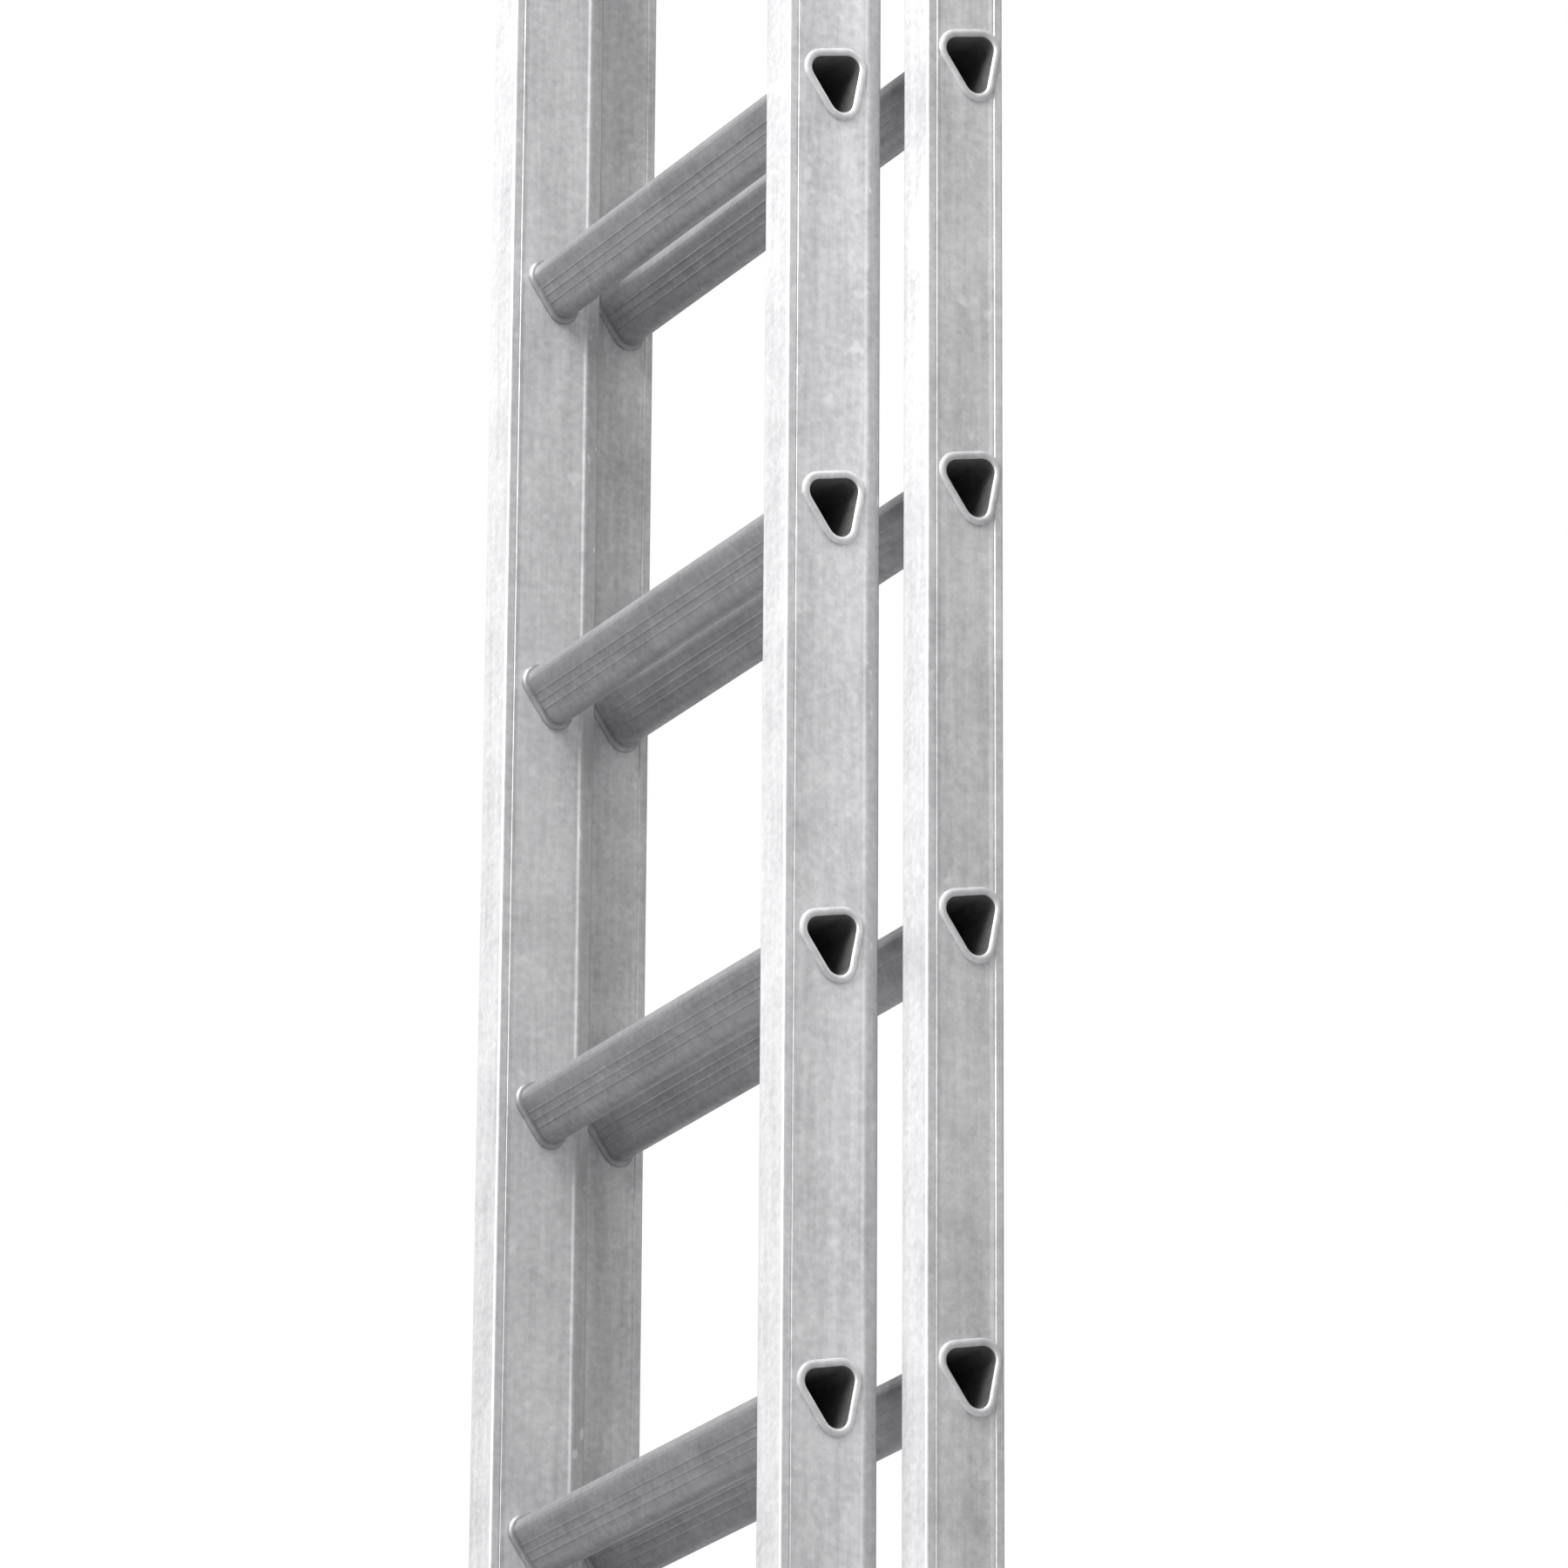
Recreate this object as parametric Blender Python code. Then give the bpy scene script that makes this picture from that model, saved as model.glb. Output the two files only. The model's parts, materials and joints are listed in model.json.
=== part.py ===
"""Two-section push-up extension ladder: a wide base section behind, a narrow fly section in front.

Metres, +Z up, rungs along X. The climber faces +Y, so right is +X. The origin lies on the floor,
under the middle of the closed ladder. Each rung passes through both of its stiles and ends in a
swaged collar. The fly slides up the base in guide straps, and two swinging hooks hang it on a rung.
"""

from math import acos, atan2, cos, radians, sin

import bmesh
import bpy
from mathutils import Matrix, Vector

# Driving dimensions
RUNG_COUNT = 12
RUNG_SPACING = 0.280
FIRST_RUNG_Z = 0.150
BASE_RUNG_LIFT = 0.0115
FLY_WIDTH = 0.404
BASE_WIDTH = 0.490
STILE_THICKNESS = 0.030
STILE_WALL = 0.0018
FLY_DEPTH = 0.065
BASE_DEPTH = 0.053
SECTION_GAP = 0.008
TOP_MARGIN = 0.125
FIT = 0.0003
CUT_OVERSHOOT = 0.010

# Rung section: three corner rounds in the YZ plane, each (y, z, radius), counter-clockwise
RUNG_CORNERS = ((0.0035, -0.0135, 0.0085), (0.0085, 0.0100, 0.0080), (-0.0090, 0.0050, 0.0090))
RUNG_WALL = 0.0020
COLLAR_SPREAD = 0.0045
COLLAR_THICKNESS = 0.0015
BASE_RUNG_SETBACK = 0.0035

# Feet, caps and guide straps
SOLE_THICKNESS = 0.008
SHOE_HEIGHT = 0.050
SHOE_WALL = 0.003
GROOVE_WIDTH = 0.004
GROOVE_DEPTH = 0.0025
GROOVE_SHARES = (0.3, 0.7)
SHOE_RIVET_Z = 0.030
CAP_PLATE = 0.004
CAP_OVERHANG = 0.0015
CAP_PLUG = 0.020
STRAP_THICKNESS = 0.003
STRAP_HEIGHT = 0.058
SLIDE_CLEARANCE = 0.0015
COLLAR_CLEARANCE = 0.0028
LIP_LENGTH = 0.021
FLANGE_SETBACK = 0.002
FLANGE_EDGE = 0.008
BASE_STRAP_RISE = 0.040
FLY_STRAP_RISE = 0.010
BASE_STRAP_RIVETS = (0.014, 0.044)
FLY_STRAP_RIVETS = (0.020, 0.049)

# Swinging hooks
HOOK_THICKNESS = 0.006
HOOK_PIVOT_Y = -0.020
HOOK_PIVOT_RISE = 0.062
HOOK_BOSS_RADIUS = 0.015
HOOK_RIM = 0.009
HOOK_CLEARANCE = 0.0008
HOOK_TIP_LENGTH = 0.010
HOOK_SWING = radians(142)
PIVOT_RADIUS = 0.005
STOP_OFFSET = Vector((-0.0178, 0.030))

# Fasteners
BOLT_HEAD_RADIUS = 0.0088
BOLT_CHAMFER = 0.0008
BOLT_HEAD_HEIGHT = 0.0064
NUT_HEIGHT = 0.0077
STOP_RADIUS = 0.004
STOP_HEIGHT = 0.008
STOP_SHANK_RADIUS = 0.0025
STOP_SHANK_LENGTH = 0.004
STOP_HOLE_DEPTH = 0.003
RIVET_RADIUS = 0.0024
RIVET_HEAD = 0.0058
RIVET_RISE = 0.0024
RIVET_GRIP = 0.004
RIVET_TAIL = 0.002

# Positions that follow from the driving dimensions
FLY_FRONT = -(FLY_DEPTH + SECTION_GAP + BASE_DEPTH) / 2
FLY_BACK = FLY_FRONT + FLY_DEPTH
BASE_FRONT = FLY_BACK + SECTION_GAP
BASE_BACK = BASE_FRONT + BASE_DEPTH
FLY_RUNG_Y = (FLY_FRONT + FLY_BACK) / 2
BASE_RUNG_Y = (BASE_FRONT + BASE_BACK) / 2 + BASE_RUNG_SETBACK
STILE_TOP = FIRST_RUNG_Z + (RUNG_COUNT - 1) * RUNG_SPACING + TOP_MARGIN
HOOK_PIVOT_Z = FIRST_RUNG_Z + BASE_RUNG_LIFT + HOOK_PIVOT_RISE
SIDES = (("left", -1), ("right", 1))


def clear_scene():
    for item in list(bpy.data.objects):
        bpy.data.objects.remove(item)


def material(name, colour, roughness, metallic):
    made = bpy.data.materials.new(name)
    made.use_nodes = True
    shader = made.node_tree.nodes["Principled BSDF"]
    shader.inputs["Base Color"].default_value = (*colour, 1)
    shader.inputs["Roughness"].default_value = roughness
    shader.inputs["Metallic"].default_value = metallic
    return made


def mesh_of(name, bm):
    bmesh.ops.recalc_face_normals(bm, faces=bm.faces)
    mesh = bpy.data.meshes.new(name)
    bm.to_mesh(mesh)
    bm.free()
    return mesh


def place(name, mesh, finish, parent, location=(0, 0, 0)):
    item = bpy.data.objects.new(name, mesh)
    if not mesh.materials:
        mesh.materials.append(finish)
    item.parent = parent
    item.location = location
    bpy.context.scene.collection.objects.link(item)
    return item


def empty(name):
    item = bpy.data.objects.new(name, None)
    bpy.context.scene.collection.objects.link(item)
    return item


def cutter(name, bm, parent=None):
    item = place(name, mesh_of(name, bm), None, parent)
    item.hide_render = True
    item.display_type = "WIRE"
    return item


def cut(item, tool):
    step = item.modifiers.new("cut " + tool.name, "BOOLEAN")
    step.operation = "DIFFERENCE"
    step.solver = "EXACT"
    step.object = tool


def arc(centre, radius, start, end, steps):
    """Points on an arc, angles measured from the first axis towards the second."""
    angles = [start + (end - start) * i / steps for i in range(steps + 1)]
    return [Vector((centre[0] + radius * cos(a), centre[1] + radius * sin(a))) for a in angles]


def side_normal(index):
    """Angle of the outward normal of the rung side that leaves corner index, counter-clockwise."""
    y0, z0, r0 = RUNG_CORNERS[index % 3]
    y1, z1, r1 = RUNG_CORNERS[(index + 1) % 3]
    run = Vector((y1 - y0, z1 - z0))
    return atan2(run.y, run.x) - acos((r0 - r1) / run.length)


def rung_outline(grow, steps=2):
    """The rung's rounded triangle, grown outwards by grow, counter-clockwise in (y, z)."""
    points = []
    for index, (y, z, radius) in enumerate(RUNG_CORNERS):
        start = side_normal(index - 1)
        end = side_normal(index)
        while end < start:
            end += radians(360)
        points += arc((y, z), radius + grow, start, end, steps)
    return points


def pull(bm, face, shift, keep=False):
    """Extrudes one face by shift and returns the new face; keep leaves the old one as a cap."""
    grown = bmesh.ops.extrude_face_region(bm, geom=[face])["geom"]
    if not keep:
        bmesh.ops.delete(bm, geom=[face], context="FACES_ONLY")
    top = next(g for g in grown if isinstance(g, bmesh.types.BMFace))
    bmesh.ops.translate(bm, verts=top.verts, vec=shift)
    return top


def add_prism(bm, outline, low, high, upright=False):
    """Extrudes a flat outline: along X from (y, z) points, or along Z from (x, y) points."""
    if upright:
        verts = [bm.verts.new((p[0], p[1], low)) for p in outline]
        shift = Vector((0, 0, high - low))
    else:
        verts = [bm.verts.new((low, p[0], p[1])) for p in outline]
        shift = Vector((high - low, 0, 0))
    pull(bm, bm.faces.new(verts), shift, keep=True)


def add_box(bm, low, high):
    size = Vector(high) - Vector(low)
    middle = (Vector(high) + Vector(low)) / 2
    made = bmesh.ops.create_cube(bm, size=1, matrix=Matrix.Translation(middle) @ Matrix.Diagonal((*size, 1)))
    return made["verts"]


def turned(profile, sides, axis, sign, point=(0, 0, 0)):
    """A round piece: (distance, radius) steps along an axis from point, from its back to its head."""
    bm = bmesh.new()
    distance, radius = profile[0]
    bmesh.ops.create_circle(bm, cap_ends=True, segments=sides, radius=radius)
    top = bm.faces[:][0]
    bmesh.ops.translate(bm, verts=top.verts, vec=(0, 0, distance))
    for step, (next_distance, next_radius) in enumerate(profile[1:]):
        top = pull(bm, top, (0, 0, next_distance - distance), keep=step == 0)
        factor = next_radius / radius
        bmesh.ops.scale(bm, verts=top.verts, vec=(factor, factor, 1))
        distance, radius = next_distance, next_radius
    turn = Vector((0, 0, 1)).rotation_difference(sign * Vector(axis)).to_matrix()
    bmesh.ops.rotate(bm, verts=bm.verts, matrix=turn)
    bmesh.ops.translate(bm, verts=bm.verts, vec=point)
    return bm


def drill(tools, profile, sides, axis, sign, point):
    """Adds a round hole to each cutter mesh in tools."""
    for tool in tools:
        made = mesh_of("hole", turned(profile, sides, axis, sign, point))
        tool.from_mesh(made)
        bpy.data.meshes.remove(made)


def strip_outline(path, thickness):
    """A bent strip seen on edge: path is one face of it, and the other lies to the path's left."""
    steps = [(b - a).normalized() for a, b in zip(path, path[1:])]
    normals = [Vector((-s.y, s.x)) for s in steps]
    joined = [normals[0]]
    for before, after in zip(normals, normals[1:]):
        joined.append((before + after) / (1 + before.dot(after)))
    joined.append(normals[-1])
    return path + [p + n * thickness for p, n in reversed(list(zip(path, joined)))]


# Stiles: hollow box extrusions, pierced for the rungs
def make_stile(name, width, front, depth, side, finish, parent):
    bm = bmesh.new()
    outer = side * width / 2
    inner = outer - side * STILE_THICKNESS
    low, high = min(outer, inner), max(outer, inner)
    add_box(bm, (low, front, SOLE_THICKNESS + FIT), (high, front + depth, STILE_TOP))
    ends = [f for f in bm.faces if abs(f.normal.z) > 0.5]
    bmesh.ops.inset_individual(bm, faces=ends, thickness=STILE_WALL, use_even_offset=True)
    bmesh.ops.bridge_loops(bm, edges=[e for f in ends for e in f.edges])
    bmesh.ops.delete(bm, geom=ends, context="FACES_ONLY")
    return place(name, mesh_of(name, bm), finish, parent)


def rung_height(index, lift):
    return FIRST_RUNG_Z + lift + index * RUNG_SPACING


def rung_holes(width, side, y, lift):
    """The prisms that pierce one stile for its rungs; fastener holes are added to them later."""
    bm = bmesh.new()
    ends = (side * (width / 2 + CUT_OVERSHOOT), side * (width / 2 - STILE_THICKNESS - CUT_OVERSHOOT))
    for index in range(RUNG_COUNT):
        outline = [p + Vector((y, rung_height(index, lift))) for p in rung_outline(FIT)]
        add_prism(bm, outline, min(ends), max(ends))
    return bm


# Rungs: hollow rounded triangles, level tread on top, swaged to a collar outside each stile
def rung_mesh(name, width):
    bm = bmesh.new()
    half = width / 2 + FIT
    end = half + COLLAR_THICKNESS
    rings = ((-end, COLLAR_SPREAD), (-half, COLLAR_SPREAD), (-half, 0), (half, 0))
    rings += ((half, COLLAR_SPREAD), (end, COLLAR_SPREAD), (end, -RUNG_WALL), (-end, -RUNG_WALL))
    loops = [[bm.verts.new((x, p.x, p.y)) for p in rung_outline(grow)] for x, grow in rings]
    for first, second in zip(loops, loops[1:] + loops[:1]):
        for i, corner in enumerate(first):
            bm.faces.new((first[i - 1], corner, second[i], second[i - 1]))
    return mesh_of(name, bm)


def make_rungs(section, width, y, lift, finish, parent):
    mesh = rung_mesh(section + "_rung", width)
    for index in range(RUNG_COUNT):
        place(f"{section}_rung_{index + 1:02d}", mesh, finish, parent, (0, y, rung_height(index, lift)))


# Shoes: moulded rubber sockets on the stile bottoms, with a grooved sole
def make_shoe(name, width, front, depth, side, finish, parent):
    bm = bmesh.new()
    outer = side * width / 2
    inner = outer - side * STILE_THICKNESS
    reach = SHOE_WALL + FIT
    low = (min(outer, inner) - reach, front - reach, 0)
    high = (max(outer, inner) + reach, front + depth + reach, SHOE_HEIGHT)
    add_box(bm, low, high)
    top = [f for f in bm.faces if f.normal.z > 0.5]
    bmesh.ops.inset_region(bm, faces=top, thickness=SHOE_WALL, use_even_offset=True)
    bmesh.ops.translate(bm, verts=top[0].verts, vec=(0, 0, SOLE_THICKNESS - SHOE_HEIGHT))
    shoe = place(name, mesh_of(name, bm), finish, parent)
    grooves = bmesh.new()
    for share in GROOVE_SHARES:
        y = low[1] + share * (high[1] - low[1])
        start = (low[0] - CUT_OVERSHOOT, y - GROOVE_WIDTH / 2, -CUT_OVERSHOOT)
        add_box(grooves, start, (high[0] + CUT_OVERSHOOT, y + GROOVE_WIDTH / 2, GROOVE_DEPTH))
    cut(shoe, cutter(name + "_grooves", grooves))
    return shoe


# Caps: plastic plugs in the stile tops
def make_cap(name, width, front, depth, side, finish, parent):
    bm = bmesh.new()
    outer = side * width / 2
    inner = outer - side * STILE_THICKNESS
    base = STILE_TOP + FIT
    low = (min(outer, inner) - CAP_OVERHANG, front - CAP_OVERHANG, base)
    high = (max(outer, inner) + CAP_OVERHANG, front + depth + CAP_OVERHANG, base + CAP_PLATE)
    add_box(bm, low, high)
    under = [f for f in bm.faces if f.normal.z < -0.5]
    inset = CAP_OVERHANG + STILE_WALL + FIT
    bmesh.ops.inset_region(bm, faces=under, thickness=inset, use_even_offset=True)
    pull(bm, under[0], (0, 0, -CAP_PLUG))
    place(name, mesh_of(name, bm), finish, parent)


# Guide straps: bent steel strips that keep the sections together while the fly slides
def base_guide_path():
    """Round the front of the fly stile, back beside it, and out along the base stile's front face."""
    flange_y = BASE_FRONT - FIT
    arm_x = FLY_WIDTH / 2 + COLLAR_CLEARANCE + STRAP_THICKNESS
    lip_y = FLY_FRONT - SLIDE_CLEARANCE - STRAP_THICKNESS
    lip_x = FLY_WIDTH / 2 - LIP_LENGTH
    flange_x = BASE_WIDTH / 2 - FLANGE_SETBACK
    return [
        Vector((lip_x, lip_y)),
        Vector((arm_x, lip_y)),
        Vector((arm_x, flange_y - STRAP_THICKNESS)),
        Vector((flange_x, flange_y - STRAP_THICKNESS)),
    ]


def fly_guide_path():
    """From the fly stile's outer side, out through the gap, and round the back of the base stile."""
    flange_x = FLY_WIDTH / 2 + FIT
    gap_y = (FLY_BACK + BASE_FRONT + STRAP_THICKNESS) / 2
    leg_x = BASE_WIDTH / 2 + COLLAR_CLEARANCE
    lip_y = BASE_BACK + SLIDE_CLEARANCE
    return [
        Vector((flange_x, FLY_FRONT + FLANGE_EDGE)),
        Vector((flange_x, gap_y)),
        Vector((leg_x, gap_y)),
        Vector((leg_x, lip_y)),
        Vector((BASE_WIDTH / 2 - LIP_LENGTH, lip_y)),
    ]


def make_strap(name, path, thickness, low, side, finish, parent):
    bm = bmesh.new()
    outline = [Vector((side * p.x, p.y)) for p in strip_outline(path, thickness)]
    add_prism(bm, outline, low, low + STRAP_HEIGHT, upright=True)
    return place(name, mesh_of(name, bm), finish, parent)


# Fasteners: (distance, radius) profiles from the tail to the head
def make_rivet(name, point, axis, sign, grip, finish, parent, tools):
    """A blind rivet whose head rests on a face at point, in a hole that tools drill through grip."""
    depth = -grip - RIVET_GRIP
    shank = depth - RIVET_TAIL
    profile = ((shank, RIVET_RADIUS), (FIT, RIVET_RADIUS), (FIT, RIVET_HEAD))
    profile += ((FIT + RIVET_RISE * 0.5, RIVET_HEAD * 0.92), (FIT + RIVET_RISE, RIVET_HEAD * 0.45))
    place(name, mesh_of(name, turned(profile, 8, axis, sign)), finish, parent, point)
    hole = ((depth - RIVET_TAIL / 2, RIVET_RADIUS + FIT), (RIVET_GRIP, RIVET_RADIUS + FIT))
    drill(tools, hole, 8, axis, sign, point)


# Hooks: flat plates that swing on a bolt and drop over a base rung
def hook_outline():
    """Seen along X about the pivot, in the seated pose: boss, arm, and a mouth round the rung."""
    rung = Vector((BASE_RUNG_Y - HOOK_PIVOT_Y, -HOOK_PIVOT_RISE))
    _, rear, front = [(Vector((y, z)) + rung, radius) for y, z, radius in RUNG_CORNERS]
    tread = side_normal(1) + radians(360)
    back = side_normal(0)
    down = Vector((sin(back), -cos(back))) * HOOK_TIP_LENGTH
    reach = HOOK_CLEARANCE + HOOK_RIM
    points = arc((0, 0), HOOK_BOSS_RADIUS, radians(44), radians(224), 8)
    points += arc(front[0], front[1] + HOOK_CLEARANCE, radians(135), tread, 2)
    points += arc(rear[0], rear[1] + HOOK_CLEARANCE, tread, back, 4)
    points.append(points[-1] + down)
    points.append(arc(rear[0], rear[1] + reach, back, back, 1)[0] + down)
    points += arc(rear[0], rear[1] + reach, back, tread, 4)
    points += arc(front[0], front[1] + reach, tread, radians(110), 1)
    return points


def make_hook(name, side, finish, parent):
    inner_face = side * (FLY_WIDTH / 2 - STILE_THICKNESS - FIT)
    outer_face = inner_face - side * HOOK_THICKNESS
    bm = bmesh.new()
    low, high = min(inner_face, outer_face), max(inner_face, outer_face)
    add_prism(bm, hook_outline(), low, high)
    bmesh.ops.rotate(bm, verts=bm.verts, matrix=Matrix.Rotation(HOOK_SWING, 3, "X"))
    hook = place(name, mesh_of(name, bm), finish, parent, (0, HOOK_PIVOT_Y, HOOK_PIVOT_Z))
    return hook, outer_face


def make_pivot(side, label, hook, outer_face, tool, finish, parent):
    point = (side * FLY_WIDTH / 2, HOOK_PIVOT_Y, HOOK_PIVOT_Z)
    inside = -abs(point[0] - outer_face) - FIT
    tip = BOLT_HEAD_RADIUS - BOLT_CHAMFER
    profile = ((inside - BOLT_HEAD_HEIGHT, tip), (inside, BOLT_HEAD_RADIUS), (inside, PIVOT_RADIUS))
    profile += ((FIT, PIVOT_RADIUS), (FIT, BOLT_HEAD_RADIUS), (FIT + NUT_HEIGHT, tip))
    name = "hook_bolt_" + label
    place(name, mesh_of(name, turned(profile, 12, (1, 0, 0), side)), finish, parent, point)
    hole = ((inside - CUT_OVERSHOOT, PIVOT_RADIUS + FIT), (CUT_OVERSHOOT, PIVOT_RADIUS + FIT))
    drill([tool], hole, 12, (1, 0, 0), side, point)
    cut(hook, cutter(name + "_hole", turned(hole, 12, (1, 0, 0), side, point)))


def make_stop(side, label, tool, finish, parent):
    """A headed pin in the stile's inner wall that the raised hook leans on."""
    face = side * (FLY_WIDTH / 2 - STILE_THICKNESS)
    point = (face, HOOK_PIVOT_Y + STOP_OFFSET.x, HOOK_PIVOT_Z + STOP_OFFSET.y)
    profile = ((-STOP_SHANK_LENGTH, STOP_SHANK_RADIUS), (FIT, STOP_SHANK_RADIUS), (FIT, STOP_RADIUS))
    profile += ((STOP_HEIGHT, STOP_RADIUS),)
    name = "hook_stop_" + label
    place(name, mesh_of(name, turned(profile, 10, (1, 0, 0), -side)), finish, parent, point)
    hole_radius = STOP_SHANK_RADIUS + FIT
    hole = ((-STOP_HOLE_DEPTH, hole_radius), (STOP_HOLE_DEPTH, hole_radius))
    drill([tool], hole, 10, (1, 0, 0), -side, point)


def build():
    clear_scene()
    stile_metal = material("stile_aluminium", (0.62, 0.62, 0.64), 0.42, 0.9)
    rung_metal = material("rung_aluminium", (0.45, 0.45, 0.46), 0.45, 0.9)
    strap_metal = material("strap_steel", (0.55, 0.56, 0.58), 0.35, 1.0)
    hook_metal = material("hook_aluminium", (0.58, 0.58, 0.60), 0.40, 0.9)
    bolt_metal = material("fastener_steel", (0.60, 0.60, 0.61), 0.30, 1.0)
    rubber = material("shoe_rubber", (0.03, 0.03, 0.03), 0.8, 0.0)
    plastic = material("cap_plastic", (0.04, 0.04, 0.045), 0.5, 0.0)
    base = empty("base_section")
    fly = empty("fly_section")

    sections = (
        ("base", base, BASE_WIDTH, BASE_FRONT, BASE_DEPTH, BASE_RUNG_Y, BASE_RUNG_LIFT),
        ("fly", fly, FLY_WIDTH, FLY_FRONT, FLY_DEPTH, FLY_RUNG_Y, 0),
    )
    stiles, shoes, tools = {}, {}, {}
    for section, parent, width, front, depth, rung_y, lift in sections:
        make_rungs(section, width, rung_y, lift, rung_metal, parent)
        for label, side in SIDES:
            spot = (width, front, depth, side)
            stiles[section, label] = make_stile(f"{section}_stile_{label}", *spot, stile_metal, parent)
            tools[section, label] = rung_holes(width, side, rung_y, lift)
            shoes[section, label] = make_shoe(f"{section}_shoe_{label}", *spot, rubber, parent)
            make_cap(f"{section}_cap_{label}", *spot, plastic, parent)

    base_strap_z = rung_height(RUNG_COUNT - 1, 0) + BASE_STRAP_RISE
    fly_strap_z = SHOE_HEIGHT + FLY_STRAP_RISE
    for label, side in SIDES:
        strap = make_strap("base_guide_" + label, base_guide_path(), STRAP_THICKNESS, base_strap_z,
                           side, strap_metal, base)
        strap_holes = bmesh.new()
        rivet_x = side * (BASE_WIDTH / 2 - STILE_THICKNESS / 2)
        rivet_y = BASE_FRONT - FIT - STRAP_THICKNESS
        for number, rise in enumerate(BASE_STRAP_RIVETS, 1):
            make_rivet(f"base_guide_rivet_{label}_{number}", (rivet_x, rivet_y, base_strap_z + rise),
                       (0, 1, 0), -1, STRAP_THICKNESS, bolt_metal, base,
                       (strap_holes, tools["base", label]))
        cut(strap, cutter(f"base_guide_holes_{label}", strap_holes))

        strap = make_strap("fly_guide_" + label, fly_guide_path(), -STRAP_THICKNESS, fly_strap_z,
                           side, strap_metal, fly)
        strap_holes = bmesh.new()
        rivet_x = side * (FLY_WIDTH / 2 + FIT + STRAP_THICKNESS)
        for number, inset in enumerate(FLY_STRAP_RIVETS, 1):
            point = (rivet_x, FLY_FRONT + inset, fly_strap_z + STRAP_HEIGHT / 2)
            make_rivet(f"fly_guide_rivet_{label}_{number}", point,
                       (1, 0, 0), side, STRAP_THICKNESS, bolt_metal, fly,
                       (strap_holes, tools["fly", label]))
        cut(strap, cutter(f"fly_guide_holes_{label}", strap_holes))

        for section, parent, width, front, depth, _, _ in sections:
            shoe_hole = bmesh.new()
            face_x = side * (width / 2 + FIT + SHOE_WALL)
            make_rivet(f"{section}_shoe_rivet_{label}", (face_x, front + depth / 2, SHOE_RIVET_Z),
                       (1, 0, 0), side, SHOE_WALL, bolt_metal, parent,
                       (shoe_hole, tools[section, label]))
            cut(shoes[section, label], cutter(f"{section}_shoe_hole_{label}", shoe_hole))

        hook, outer_face = make_hook("hook_" + label, side, hook_metal, fly)
        make_pivot(side, label, hook, outer_face, tools["fly", label], bolt_metal, fly)
        make_stop(side, label, tools["fly", label], bolt_metal, fly)

    for (section, label), tool in tools.items():
        cut(stiles[section, label], cutter(f"{section}_stile_holes_{label}", tool))


build()
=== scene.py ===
import json
from math import acos, atan2, cos, pi, radians, sin, tan, tau

import bmesh
import bpy
from mathutils import Matrix, Vector


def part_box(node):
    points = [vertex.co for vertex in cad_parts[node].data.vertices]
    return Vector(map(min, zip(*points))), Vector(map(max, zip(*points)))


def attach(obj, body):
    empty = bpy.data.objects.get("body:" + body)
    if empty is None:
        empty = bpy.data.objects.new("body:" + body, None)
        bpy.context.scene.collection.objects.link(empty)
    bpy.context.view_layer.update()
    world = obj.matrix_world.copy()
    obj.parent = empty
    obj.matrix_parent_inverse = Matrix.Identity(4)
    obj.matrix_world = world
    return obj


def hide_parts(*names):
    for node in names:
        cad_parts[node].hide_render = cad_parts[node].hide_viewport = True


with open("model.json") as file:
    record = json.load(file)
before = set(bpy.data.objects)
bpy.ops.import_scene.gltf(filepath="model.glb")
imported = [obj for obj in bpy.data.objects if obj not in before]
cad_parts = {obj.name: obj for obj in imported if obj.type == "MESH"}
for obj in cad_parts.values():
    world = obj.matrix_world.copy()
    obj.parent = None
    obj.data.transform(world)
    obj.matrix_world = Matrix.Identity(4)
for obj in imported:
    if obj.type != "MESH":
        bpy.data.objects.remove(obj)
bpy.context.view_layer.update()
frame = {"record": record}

scene = bpy.context.scene

# Camera: a long lens held low down at the ladder's front right, looking up at rungs seven to ten.
# The long lens keeps the stiles almost parallel. It has no shift and no depth of field.
camera_place = Vector((4.9283, -2.6249, 0.2355))
camera_heading = radians(61.545)
camera_tilt = radians(20.102)
camera_roll = radians(0.371)
camera_lens = 220.42
camera_sensor = 36
camera_reach = 200

camera = bpy.data.objects.new("camera", bpy.data.cameras.new("camera"))
camera.data.lens = camera_lens
camera.data.sensor_width = camera_sensor
camera.data.clip_end = camera_reach
level_view = Matrix.Rotation(camera_heading, 4, "Z") @ Matrix.Rotation(pi / 2 + camera_tilt, 4, "X")
camera.matrix_world = Matrix.Translation(camera_place) @ level_view @ Matrix.Rotation(camera_roll, 4, "Z")
scene.collection.objects.link(camera)
scene.camera = camera


# Studio: a floor that pales with distance and a white backdrop. A broad key light shines from the
# front and a round softbox hangs high at the front right. The room glows brightest high at the front
# left, and its dimmer far side and low band are what shape bare metal.
key_side = Vector((0.12, -0.90, 0.42)).normalized()
key_strength = 2.1
key_spread = radians(40)
softbox_place = Vector((1.05, -1.9, 4.7))
softbox_target = Vector((0, 0, 2.5))
softbox_width = 1.6
softbox_watts = 94
bright_side = Vector((-0.34, -0.42, 0.84)).normalized()
side_fade = (-0.6, 0.9)
height_fade = (0.02, 0.70)
room_dark = 0.24
room_bright = 0.98
room_low = 0.28
room_high = 1.34
floor_reach = 300
floor_sunk = 0.0005
floor_fade = (7, 45)
floor_grey = (0.50, 0.50, 0.505, 1)
floor_pale = (0.93, 0.93, 0.93, 1)


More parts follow.
